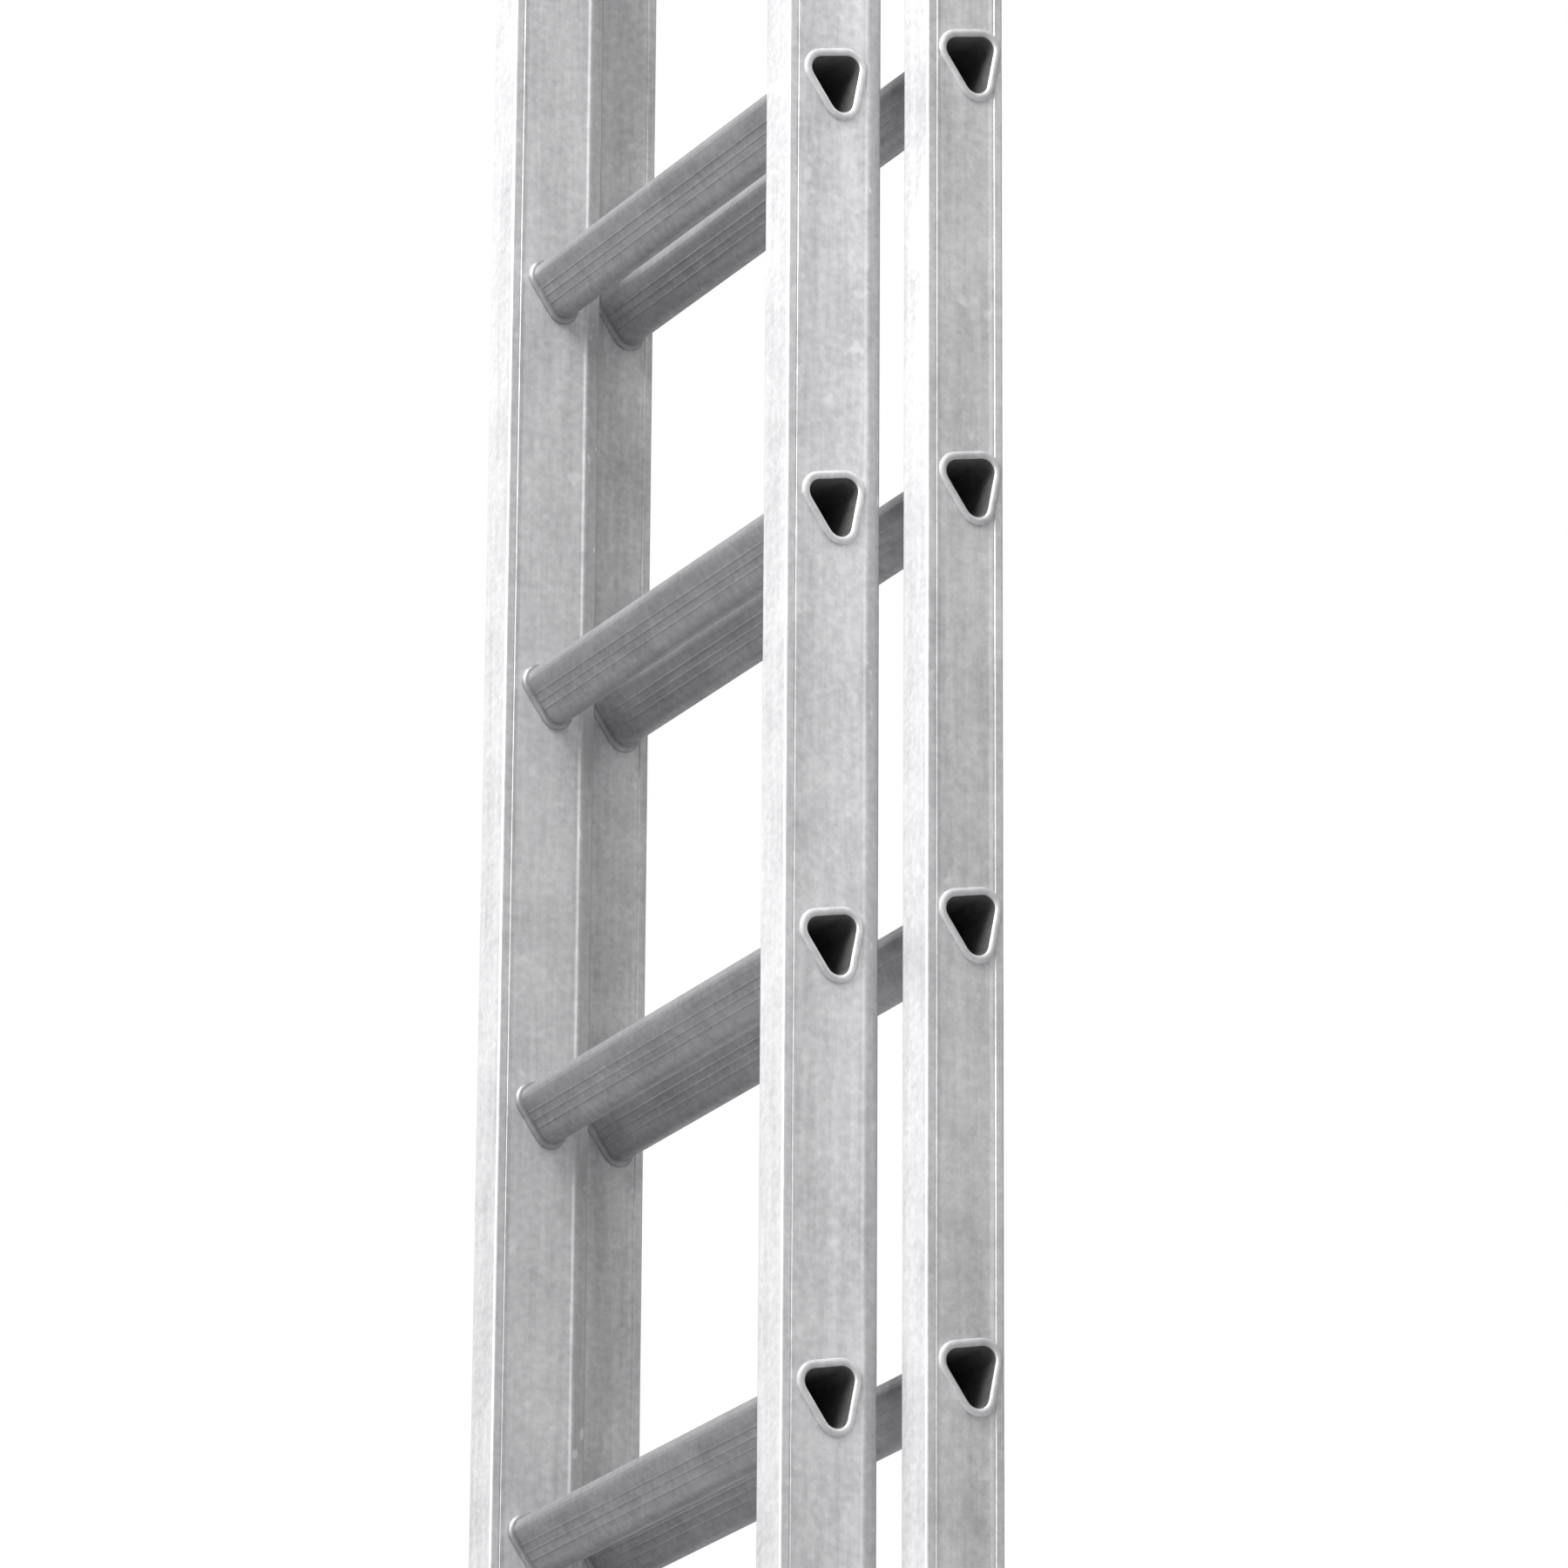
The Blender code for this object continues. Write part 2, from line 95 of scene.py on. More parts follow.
class Signal:
    """A node's output with Python's arithmetic, so that a finish reads as an expression."""

    def __init__(self, nodes, output):
        self.nodes = nodes
        self.output = output

    def maths(self, operation, first, second):
        return self.nodes.make("Math", {"operation": operation}, {0: first, 1: second})

    def __add__(self, other):
        return self.maths("ADD", self, other)

    def __sub__(self, other):
        return self.maths("SUBTRACT", self, other)

    def __rsub__(self, other):
        return self.maths("SUBTRACT", other, self)

    def __mul__(self, other):
        return self.maths("MULTIPLY", self, other)

    __radd__ = __add__
    __rmul__ = __mul__

    def over(self, low, high):
        """Nought below low, one above high, and straight between."""
        return self.nodes.make("MapRange", {}, {0: self, 1: low, 2: high})


class Nodes:
    """A shader tree that is built up by calls to make()."""

    def __init__(self, owner):
        owner.use_nodes = True
        self.tree = owner.node_tree

    def make(self, kind, settings=None, values=None, output=0):
        node = self.tree.nodes.new("ShaderNode" + kind)
        for key, value in (settings or {}).items():
            setattr(node, key, value)
        self.feed(node, values or {})
        return Signal(self, node.outputs[output])

    def feed(self, node, values):
        for key, value in values.items():
            if isinstance(value, Signal):
                self.tree.links.new(value.output, node.inputs[key])
            else:
                node.inputs[key].default_value = value

    def blend(self, share, first, second):
        """One colour turning into another as share goes from 0 to 1."""
        return self.make("Mix", {"data_type": "RGBA"}, {0: share, 6: first, 7: second}, 2)

    def noise(self, place, scale, detail, rough):
        settings = {"Vector": place, "Scale": scale, "Detail": detail, "Roughness": rough}
        return self.make("TexNoise", {}, settings)


world = bpy.data.worlds.new("studio")
scene.world = world
room = Nodes(world)
towards = room.make("TexCoord", output="Generated")
facing_bright = room.make("VectorMath", {"operation": "DOT_PRODUCT"}, {0: towards, 1: bright_side}, "Value")
overhead = room.make("SeparateXYZ", {}, {"Vector": towards}, "Z").over(*height_fade)
side_glow = room_dark + (room_bright - room_dark) * facing_bright.over(*side_fade)
height_glow = room_low + (room_high - room_low) * overhead
glow = room.make("Background", {}, {"Strength": side_glow * height_glow})
backdrop = room.make("Background", {}, {"Color": (1, 1, 1, 1), "Strength": 1.0})
seen_directly = room.make("LightPath", output="Is Camera Ray")
both = room.make("MixShader", {}, {0: seen_directly, 1: glow, 2: backdrop})
room.feed(room.tree.nodes["World Output"], {"Surface": both})

paint = bpy.data.materials.new("floor_paint")
floor_nodes = Nodes(paint)
floor_place = floor_nodes.make("TexCoord", output="Object")
distance = floor_nodes.make("VectorMath", {"operation": "LENGTH"}, {0: floor_place}, "Value")
floor_nodes.feed(floor_nodes.tree.nodes["Principled BSDF"], {
    "Base Color": floor_nodes.blend(distance.over(*floor_fade), floor_grey, floor_pale),
    "Roughness": 0.9,
})
plane = bmesh.new()
bmesh.ops.create_grid(plane, x_segments=1, y_segments=1, size=floor_reach)
floor_mesh = bpy.data.meshes.new("floor")
plane.to_mesh(floor_mesh)
plane.free()
floor_mesh.materials.append(paint)
floor = bpy.data.objects.new("floor", floor_mesh)
floor.location.z = -floor_sunk
scene.collection.objects.link(floor)

lamp = bpy.data.objects.new("key_light", bpy.data.lights.new("key_light", "SUN"))
lamp.data.energy = key_strength
lamp.data.angle = key_spread
lamp.rotation_euler = key_side.to_track_quat("Z", "Y").to_euler()
scene.collection.objects.link(lamp)

softbox = bpy.data.objects.new("softbox", bpy.data.lights.new("softbox", "AREA"))
softbox.data.shape = "DISK"
softbox.data.size = softbox_width
softbox.data.energy = softbox_watts
softbox.location = softbox_place
softbox.rotation_euler = (softbox_place - softbox_target).to_track_quat("Z", "Y").to_euler()
scene.collection.objects.link(softbox)
scene.view_settings.view_transform = "Standard"


# Stiles: four hollow box extrusions in mill-finish aluminium, two to a section. Each web is sunk a
# little between two lips, with a fine groove beside each, and is punched through for the rungs. The
# fly's stiles narrow at the rear edge, darkened there by painted shade from the base stile beside it.
SIDES = (("left", -1), ("right", 1))
SECTIONS = ("base", "fly")
WALL = 0.0018
CORNER = 0.0016
LIP = 0.0070
RAMP = 0.0030
SINK = 0.0006
GROOVE = 0.0012
GROOVE_DEPTH = 0.0007
NOSE = 0.0095
TAPERS = {"base": 0.0, "fly": 0.0010}
FIT = 0.0002
FLAT = 0.99995
CREASE = radians(32)

# From a web's edge towards its middle, (reach, depth) points over a plain lip and over a narrowed one
PLAIN_LIP = ((LIP - GROOVE, 0), (LIP - GROOVE / 2, GROOVE_DEPTH), (LIP, SINK * 0.2),
             (LIP + RAMP * 0.3, SINK * 0.35), (LIP + RAMP * 0.7, SINK * 0.85), (LIP + RAMP, SINK))
NOSE_LIP = ((NOSE - 0.0004, 0.00008), (NOSE + 0.0004, 0.0), (NOSE + 0.0009, SINK * 0.2),
            (NOSE + 0.0018, SINK * 0.85), (NOSE + 0.0024, SINK))

# The rung's section: three corner rounds (y, z, radius), counter-clockwise, with the tread on top
CORNERS = ((0.0035, -0.0135, 0.0085), (0.0085, 0.0100, 0.0080), (-0.0090, 0.0050, 0.0090))
RIBS = ((0, 0), (5, 0.0005), (3, 0.00035))
RIB_WIDTH = 0.0014
RIB_SHAPE = ((-1, 0), (-0.6, 1), (0.6, 1), (1, 0))
RUNG_COUNT = 12
COLLAR_SPREAD = 0.0045

# Each stile's other holes: the fastener, the way it points and the radius
ACROSS = (1, 0, 0)
BACKWARDS = (0, 1, 0)
RIVET_HOLE = 0.0026
BOLT_HOLE = 0.0052
PIN_HOLE = 0.0027
FASTENERS = {
    "base": (("base_shoe_rivet_{}", ACROSS, RIVET_HOLE),
             ("base_guide_rivet_{}_1", BACKWARDS, RIVET_HOLE),
             ("base_guide_rivet_{}_2", BACKWARDS, RIVET_HOLE)),
    "fly": (("fly_shoe_rivet_{}", ACROSS, RIVET_HOLE),
            ("fly_guide_rivet_{}_1", ACROSS, RIVET_HOLE),
            ("fly_guide_rivet_{}_2", ACROSS, RIVET_HOLE),
            ("hook_bolt_{}", ACROSS, BOLT_HOLE),
            ("hook_stop_{}", ACROSS, PIN_HOLE)),
}


def bearing(angle):
    return Vector((cos(angle), sin(angle)))


def arc(centre, radius, start, end, steps):
    """Points on an arc, angles measured from the first axis towards the second."""
    return [Vector(centre) + radius * bearing(start + (end - start) * i / steps) for i in range(steps + 1)]


def side_normal(index):
    """Direction that the rung's flat side after corner index faces."""
    y0, z0, r0 = CORNERS[index % 3]
    y1, z1, r1 = CORNERS[(index + 1) % 3]
    run = Vector((y1 - y0, z1 - z0))
    return atan2(run.y, run.x) - acos((r0 - r1) / run.length)


def rung_section(grow, rib=0.0, steps=8):
    """The rung's outline in (y, z), grown outwards, with grip ribs at a share of their full height."""
    points = []
    for index, (y, z, radius) in enumerate(CORNERS):
        start, end = side_normal(index - 1), side_normal(index)
        if end < start:
            end += tau
        points += arc((y, z), radius + grow, start, end, steps)
        y1, z1, next_radius = CORNERS[(index + 1) % 3]
        here, there = points[-1], Vector((y1, z1)) + (next_radius + grow) * bearing(end)
        along = (there - here).normalized()
        count, height = RIBS[index]
        for number in range(count):
            middle = here.lerp(there, (number + 1) / (count + 1))
            for shift, lift in RIB_SHAPE:
                points.append(middle + along * shift * RIB_WIDTH / 2 + bearing(end) * height * rib * lift)
    return points


def rung_place(section, number):
    """Where a rung's own origin is in (y, z), from its CAD box."""
    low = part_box(f"{section}_rung_{number:02d}")[0]
    outline = rung_section(COLLAR_SPREAD)
    return Vector((low.y - min(p.x for p in outline), low.z - min(p.y for p in outline)))


def stile_section(low, high, taper):
    """The extrusion's outline in (x, y), counter-clockwise, drawn in at the back by taper on each side."""
    points = []
    rear_lip = ((CORNER, taper), *NOSE_LIP) if taper else PLAIN_LIP
    for x, inward in ((high.x, -1), (low.x, 1)):
        outwards = 0 if inward < 0 else pi
        front = arc((x + inward * CORNER, low.y + CORNER), CORNER, -pi / 2, -outwards, 6)
        front += [Vector((x + inward * depth, low.y + reach)) for reach, depth in PLAIN_LIP]
        back = [Vector((x + inward * depth, high.y - reach)) for reach, depth in reversed(rear_lip)]
        rear_corner = (x + inward * (CORNER + taper), high.y - CORNER)
        back += arc(rear_corner, CORNER, outwards, pi / 2, 6)
        points += front + back if inward < 0 else (front + back)[::-1]
    return points


def rounded(low, high, inset, radius, steps=3):
    """A box's outline in (x, y), set in from its sides and rounded at its corners, counter-clockwise."""
    points = []
    reach = inset + radius
    for turn, x, y in ((0, high.x - reach, high.y - reach), (1, low.x + reach, high.y - reach),
                       (2, low.x + reach, low.y + reach), (3, high.x - reach, low.y + reach)):
        points += arc((x, y), radius, turn * pi / 2, (turn + 1) * pi / 2, steps)
    return points


def grow_solid(bm, faces, shift):
    """Pulls flat faces out into a closed solid; the faces themselves stay as its near end."""
    grown = bmesh.ops.extrude_face_region(bm, geom=faces)["geom"]
    bmesh.ops.translate(bm, verts=[g for g in grown if isinstance(g, bmesh.types.BMVert)], vec=shift)
    bmesh.ops.recalc_face_normals(bm, faces=bm.faces)


def solid(name, bm, finish):
    """A mesh object from a bmesh, smooth over its rounds and crisp at its edges."""
    mesh = bpy.data.meshes.new(name)
    bm.to_mesh(mesh)
    bm.free()
    mesh.materials.append(finish)
    made = bpy.data.objects.new(name, mesh)
    scene.collection.objects.link(made)
    crisp(made)
    return made


def crisp(made):
    """Flat faces square to the axes stay flat, and everything else is smooth up to a crease."""
    made.data.shade_smooth()
    made.data.set_sharp_from_angle(angle=CREASE)
    for face in made.data.polygons:
        if max(abs(part) for part in face.normal) > FLAT:
            face.use_smooth = False


def fit(made, body, slot, *nodes):
    """Rides a finished piece on its body, in the place of its CAD nodes."""
    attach(made, body)
    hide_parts(*nodes)
    return made


def carve(made, tool, operation="DIFFERENCE"):
    """Cuts one solid out of another, or keeps only what both fill, for good."""
    cut = made.modifiers.new("cut", "BOOLEAN")
    cut.operation = operation
    cut.solver = "EXACT"
    cut.object = tool
    whole = made.data
    carved = made.evaluated_get(bpy.context.evaluated_depsgraph_get())
    made.data = bpy.data.meshes.new_from_object(carved)
    made.modifiers.remove(cut)
    bpy.data.meshes.remove(whole)
    bpy.data.objects.remove(tool)
    crisp(made)


def pointing(direction):
    """The turn that brings the Z axis round to a direction."""
    return Vector((0, 0, 1)).rotation_difference(Vector(direction)).to_matrix().to_4x4()


def drill(bm, node, direction, radius):
    """Adds the round hole that a fastener sits in, over the whole length of its CAD box."""
    low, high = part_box(node)
    length = abs((high - low).dot(Vector(direction)))
    bmesh.ops.create_cone(bm, cap_ends=True, segments=24, radius1=radius, radius2=radius, depth=length,
                          matrix=Matrix.Translation((low + high) / 2) @ pointing(direction))


def aluminium(name, dark, light, stretch, roughness, metallic=0.62, rear_shade_band=None):
    """Bare extrusion: die streaks along its length, clouds of dull oxide and fine handling marks."""
    material = bpy.data.materials.new(name)
    nodes = Nodes(material)
    place = nodes.make("TexCoord", output="Object")
    drawn = nodes.make("Mapping", {}, {"Vector": place, "Scale": stretch})
    streaks = nodes.noise(drawn, 150, 6, 0.62).over(0.32, 0.68)
    bands = nodes.noise(drawn, 34, 3, 0.5).over(0.32, 0.68)
    clouds = nodes.noise(place, 26, 5, 0.62).over(0.34, 0.66)
    flecks = nodes.noise(place, 190, 4, 0.62).over(0.36, 0.66)
    grain = nodes.noise(place, 700, 3, 0.6)
    slant = nodes.make("Mapping", {}, {"Vector": place, "Rotation": (0.5, 0.9, 0.3), "Scale": (14, 1, 1)})
    marks = nodes.noise(slant, 70, 3, 0.4).over(0.66, 0.74)
    tone = 0.28 * streaks + 0.18 * bands + 0.26 * clouds + 0.28 * flecks
    colour = nodes.blend(tone, (*dark, 1), (*light, 1))
    # Painted shade: an optional band, darker towards the rear edge, stands in for the shade between the
    # stiles.
    if rear_shade_band:
        depth = nodes.make("SeparateXYZ", {}, {"Vector": place}, "Y")
        edge_shade = depth.over(*rear_shade_band) * (0.55 + 0.45 * clouds)
        colour = nodes.blend(REAR_SHADE_STRENGTH * edge_shade, colour, (*[REAR_SHADE_DARKNESS * part for part in dark], 1))
    relief = 0.4 * streaks + 0.4 * grain + 0.3 * flecks - 0.3 * marks
    nodes.feed(nodes.tree.nodes["Principled BSDF"], {
        "Base Color": nodes.blend(0.5 * marks, colour, (*light, 1)),
        "Metallic": metallic,
        "Roughness": roughness + 0.16 * (1 - tone) + 0.08 * grain,
        "Normal": nodes.make("Bump", {}, {"Strength": 0.4, "Distance": 0.0003, "Height": relief}),
    })
    return material


# How strong and how dark the painted shade band on the fly stiles' rear edges is
REAR_SHADE_STRENGTH = 0.45
REAR_SHADE_DARKNESS = 0.42
STILE_DARK = (0.46, 0.46, 0.47)
STILE_LIGHT = (0.97, 0.97, 0.98)
STILE_ROUGHNESS = 0.42
ALONG_STILE = (1, 1, 0.05)
nose_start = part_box("fly_stile_right")[1].y - NOSE
stile_finishes = {
    "base": aluminium("base_stile_finish", STILE_DARK, STILE_LIGHT, ALONG_STILE, STILE_ROUGHNESS),
    # The fly's finish carries the painted shade band from the narrowed rear edge backwards.
    "fly": aluminium("fly_stile_finish", STILE_DARK, STILE_LIGHT, ALONG_STILE, STILE_ROUGHNESS,
                     rear_shade_band=(nose_start - 0.001, nose_start + 0.002)),
}

for section in SECTIONS:
    taper = TAPERS[section]
    for label, _ in SIDES:
        node = f"{section}_stile_{label}"
        low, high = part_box(node)
        hollow = rounded(low, high, WALL + max(SINK, taper), CORNER / 2)
        bm = bmesh.new()
        for outline in (stile_section(low, high, taper), hollow):
            corners = [bm.verts.new((p.x, p.y, low.z)) for p in outline]
            for pair in zip(corners, corners[1:] + corners[:1]):
                bm.edges.new(pair)
        bmesh.ops.triangle_fill(bm, edges=bm.edges[:], use_beauty=True)
        grow_solid(bm, bm.faces[:], (0, 0, high.z - low.z))
        stile = solid(node + "_extrusion", bm, stile_finishes[section])
        punch = bmesh.new()
        for number in range(1, RUNG_COUNT + 1):
            points = [rung_place(section, number) + p for p in rung_section(FIT, steps=6)]
            blank = punch.faces.new([punch.verts.new((low.x - WALL, p.x, p.y)) for p in points])
            grow_solid(punch, [blank], (high.x - low.x + 2 * WALL, 0, 0))
        for kind, direction, radius in FASTENERS[section]:
            drill(punch, kind.format(label), direction, radius)
        carve(stile, solid("punch", punch, stile_finishes[section]))
        fit(stile, section, "stile_aluminium", node)


# Rungs: hollow rounded triangles with grip ribs, pushed through both stiles. Each end is swaged to a
# bead inside the stile and flared to a soft collar outside it, and its bore stays open.
TOUCH = 1e-6
ON_TUBE, ON_BORE, ON_COLLAR = range(3)
RIB_END = -0.006
SHRINK = -0.0001
BORE_GROW = -0.0020
# (along, outwards) points: the bead from the stile's inner face, then the collar and the mouth from
# its outer face
BEAD = ((-0.0032, 0.0), (-0.0030, 0.0012), (-0.0023, 0.0024), (-0.0012, 0.0030), (0.0001, 0.0030))
COLLAR = ((-0.0001, 0.0041), (0.0005, 0.0045), (0.0012, 0.0043), (0.0018, 0.0034), (0.0021, 0.0022),
          (0.0020, 0.0010), (0.0015, 0.0001), (0.0007, -0.0005))
FLARE = ((-0.0010, -0.0011), (-0.0040, -0.0017), (-0.0080, BORE_GROW))


def loft(rings, capped=False):
    """Skin over (points, material) outlines in order, closed on itself or by a cap at each end."""
    bm = bmesh.new()
    order = bm.verts.layers.int.new("order")
    verts = [bm.verts.new(point) for point in rings[0][0]]
    for index, vert in enumerate(verts):
        vert[order] = index
    edges = [bm.edges.new(pair) for pair in zip(verts, verts[1:] + verts[:1])]
    for points, material in rings[1:] + ([] if capped else rings[:1]):
        grown = bmesh.ops.extrude_edge_only(bm, edges=edges)["geom"]
        verts = {g for g in grown if isinstance(g, bmesh.types.BMVert)}
        edges = [g for g in grown if isinstance(g, bmesh.types.BMEdge) and verts.issuperset(g.verts)]
        for vert in verts:
            vert.co = points[vert[order]]
        for face in (g for g in grown if isinstance(g, bmesh.types.BMFace)):
            face.material_index = material
    bmesh.ops.remove_doubles(bm, verts=bm.verts, dist=TOUCH)
    if capped:
        bmesh.ops.holes_fill(bm, edges=bm.edges, sides=0)
    bmesh.ops.recalc_face_normals(bm, faces=bm.faces)
    return bm


def bore_finish():
    """The inside of the tube: dull and dark, painted shade for the light that falls off down the bore."""
    material = bpy.data.materials.new("rung_inside_painted_shade")
    nodes = Nodes(material)
    place = nodes.make("TexCoord", output="Object")
    dust = nodes.noise(place, 160, 4, 0.6)
    nodes.feed(nodes.tree.nodes["Principled BSDF"], {
        # Painted shade: near-black colours, mottled by a dusty noise, stand in for the dark inside the
        # tube.
        "Base Color": nodes.blend(dust, (0.05, 0.05, 0.052, 1), (0.15, 0.148, 0.143, 1)),
        "Metallic": 0.0,
        "Specular IOR Level": 0.15,
        "Roughness": 0.75 + 0.2 * dust,
    })
    return material


# Painted shade: the rungs are the stiles' aluminium given much darker colours for the shade beneath them.
rung_shaded_finish = aluminium("rung_painted_shade_finish", dark=(0.24, 0.24, 0.25), light=(0.48, 0.48, 0.49),
                        stretch=(0.05, 1, 1), roughness=0.40, metallic=0.82)
collar_finish = aluminium("rung_collar_finish", dark=(0.50, 0.50, 0.51), light=(0.82, 0.82, 0.83),
                          stretch=(1, 1, 1), roughness=0.46)
bore_painted_shade = bore_finish()

for section in SECTIONS:
    low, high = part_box(f"{section}_stile_right")
    outer, inner = high.x - SINK, low.x + SINK
    half = [(inner + RIB_END, 0.0, 1.0, ON_TUBE)]
    half += [(inner + x, grow, 0.0, ON_TUBE) for x, grow in BEAD]
    half += [(inner - SHRINK, SHRINK, 0.0, ON_COLLAR), (outer + SHRINK, SHRINK, 0.0, ON_COLLAR)]
    half += [(outer + x, grow, 0.0, ON_COLLAR) for x, grow in COLLAR]
    half += [(outer + x, grow, 0.0, ON_BORE) for x, grow in FLARE]
    other_half = [(-x, grow, rib, ON_BORE if grow == BORE_GROW else skin)
                  for x, grow, rib, skin in reversed(half)]
    rings = []
    for x, grow, rib, skin in half + other_half:
        rings.append(([Vector((x, p.x, p.y)) for p in rung_section(grow, rib)], skin))
    rung = loft(rings)
    pattern = bpy.data.meshes.new(section + "_rung")
    rung.to_mesh(pattern)
    rung.free()
    for number in range(1, RUNG_COUNT + 1):
        node = f"{section}_rung_{number:02d}"
        bm = bmesh.new()
        bm.from_mesh(pattern)
        bmesh.ops.translate(bm, verts=bm.verts, vec=(0, *rung_place(section, number)))
        tube = solid(node + "_tube", bm, rung_shaded_finish)
        tube.data.materials.append(bore_painted_shade)
        tube.data.materials.append(collar_finish)
        fit(tube, section, "rung_aluminium", node)
    bpy.data.meshes.remove(pattern)


# Shoes: black rubber sockets pushed over the stile feet, moulded with grip bands round the outside
# and a thick sole with two grooves across it. A blind rivet through the outer wall holds each one on.
SHOE_WALL = 0.0029
SOLE = 0.008
SHOE_CORNER = 0.0042
BAND_STEP = 0.0009
BANDS = (0.0075, 0.0124, 0.0173, 0.0400)
TREAD_LENGTH = 0.1
TREAD_WIDTH = 0.004
TREAD_DEPTH = 0.0025
TREADS = (0.3, 0.7)
# (set-in, rise) pairs up the outside from the sole, over a band, and over the mouth's rolled edge
SHOE_FOOT = ((0.0014, 0.0), (0.0004, 0.0004), (0, 0.0014))
SHOE_BAND = ((0, 0.0), (BAND_STEP, 0.0008), (BAND_STEP, 0.0023), (0, 0.0031))
SHOE_MOUTH = ((0, -0.0014), (0.0004, -0.0004), (0.0012, 0.0), (0.0020, -0.0002), (0.0027, -0.0012),
              (SHOE_WALL, -0.0024))


def moulded(low, high, tiers, corner):
    """A closed moulding stacked from rounded outlines, each a (set-in, height) pair."""
    rings = []
    for inset, z in tiers:
        rings.append(([Vector((p.x, p.y, z)) for p in rounded(low, high, inset, corner, 5)], 0))
    return loft(rings, capped=True)


def rubber_finish():
    """Moulded black rubber with a fine matt grain, scuffed grey low down and dusty in its clouds."""
    material = bpy.data.materials.new("shoe_rubber_finish")
    nodes = Nodes(material)
    place = nodes.make("TexCoord", output="Object")
    height = nodes.make("SeparateXYZ", {}, {"Vector": place}, "Z")
    grain = nodes.noise(place, 1100, 3, 0.6)
    clouds = nodes.noise(place, 45, 4, 0.6)
    sideways = nodes.make("Mapping", {}, {"Vector": place, "Scale": (1, 1, 7)})
    scuffs = nodes.noise(sideways, 120, 4, 0.55)
    worn = scuffs.over(0.55, 0.72) * (1 - height.over(0.004, 0.030))
    dusty = 0.45 * clouds.over(0.45, 0.75) + 0.8 * worn
    relief = grain + 0.6 * scuffs
    nodes.feed(nodes.tree.nodes["Principled BSDF"], {
        "Base Color": nodes.blend(dusty, (0.014, 0.014, 0.015, 1), (0.095, 0.092, 0.086, 1)),
        "Specular IOR Level": 0.35,
        "Roughness": 0.62 + 0.2 * clouds + 0.12 * worn,
        "Normal": nodes.make("Bump", {}, {"Strength": 0.5, "Distance": 0.0002, "Height": relief}),
    })
    return material


shoe_finish = rubber_finish()

for section in SECTIONS:
    for label, _ in SIDES:
        node = f"{section}_shoe_{label}"
        low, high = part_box(node)
        tiers = [(inset, low.z + rise) for inset, rise in SHOE_FOOT]
        tiers += [(inset, start + rise) for start in BANDS for inset, rise in SHOE_BAND]
        tiers += [(inset, high.z + rise) for inset, rise in SHOE_MOUTH] + [(SHOE_WALL, low.z + SOLE)]
        shoe = solid(node + "_moulding", moulded(low, high, tiers, SHOE_CORNER), shoe_finish)
        tread = bmesh.new()
        for share in TREADS:
            place = Matrix.Translation(((low.x + high.x) / 2, low.y + share * (high.y - low.y), low.z))
            size = Matrix.Diagonal((TREAD_LENGTH, TREAD_WIDTH, 2 * TREAD_DEPTH, 1))
            bmesh.ops.create_cube(tread, size=1, matrix=place @ size)
        drill(tread, f"{section}_shoe_rivet_{label}", ACROSS, RIVET_HOLE)
        carve(shoe, solid("tread", tread, shoe_finish))
        fit(shoe, section, "shoe_rubber", node)


# Caps: black plastic plugs pressed into the stile tops. A flat plate with a rolled edge and a shallow
# sunk panel covers the cut end, and the plug below it grips the walls.
CAP_PLATE = 0.004
CAP_OVERHANG = 0.0015
CAP_CORNER = 0.0022
PLUG = CAP_OVERHANG + WALL + TAPERS["fly"] + FIT
# (set-in, rise) pairs up the plug, round the plate's lower edge, and over its top to the panel
CAP_PLUG = ((PLUG + 0.0014, 0.0), (PLUG + 0.0004, 0.0012), (PLUG, 0.0030))
CAP_UNDER = ((PLUG, 0.0), (0.0007, 0.0), (0.0001, 0.0003), (0, 0.0010))
CAP_TOP = ((0, -0.0016), (0.0003, -0.0008), (0.0009, -0.0002), (0.0018, 0.0), (0.0042, 0.0),
           (0.0047, -0.0002), (0.0050, -0.0008))


def plastic_finish():
    """Injection-moulded plastic: a fine spark-eroded grain with a few shiny rub marks."""
    material = bpy.data.materials.new("cap_plastic_finish")
    nodes = Nodes(material)
    place = nodes.make("TexCoord", output="Object")
    grain = nodes.noise(place, 1700, 2, 0.5)
    cloud = nodes.noise(place, 60, 3, 0.5)
    slant = nodes.make("Mapping", {}, {"Vector": place, "Rotation": (0.2, 0.4, 0.9), "Scale": (12, 1, 1)})
    rubs = nodes.noise(slant, 120, 3, 0.5).over(0.64, 0.74)
    pale = 0.5 * cloud + 0.5 * rubs
    nodes.feed(nodes.tree.nodes["Principled BSDF"], {
        "Base Color": nodes.blend(pale, (0.022, 0.022, 0.024, 1), (0.060, 0.060, 0.062, 1)),
        "Roughness": 0.50 + 0.12 * cloud - 0.18 * rubs,
        "Normal": nodes.make("Bump", {}, {"Strength": 0.35, "Distance": 0.00015, "Height": grain}),
    })
    return material


cap_finish = plastic_finish()

for section in SECTIONS:
    for label, _ in SIDES:
        node = f"{section}_cap_{label}"
        low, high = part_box(node)
        tiers = [(inset, low.z + rise) for inset, rise in CAP_PLUG]
        tiers += [(inset, high.z - CAP_PLATE + rise) for inset, rise in CAP_UNDER]
        tiers += [(inset, high.z + rise) for inset, rise in CAP_TOP]
        cap = solid(node + "_moulding", moulded(low, high, tiers, CAP_CORNER), cap_finish)
        fit(cap, section, "cap_plastic", node)


# Guide straps: zinc-plated steel strip, cut, bent and riveted to one section so that it wraps round
# the stile of the other. Two sit on the base's top and two on the fly's foot.
STRAP = 0.003
BEND = 0.0022
STRAP_CORNER = 0.006
STRAP_EDGE = 0.0005
COLLAR_ROOM = 0.0028
LIP_LENGTH = 0.021
SHARP = radians(50)


def left_of(run):
    return Vector((-run.y, run.x))


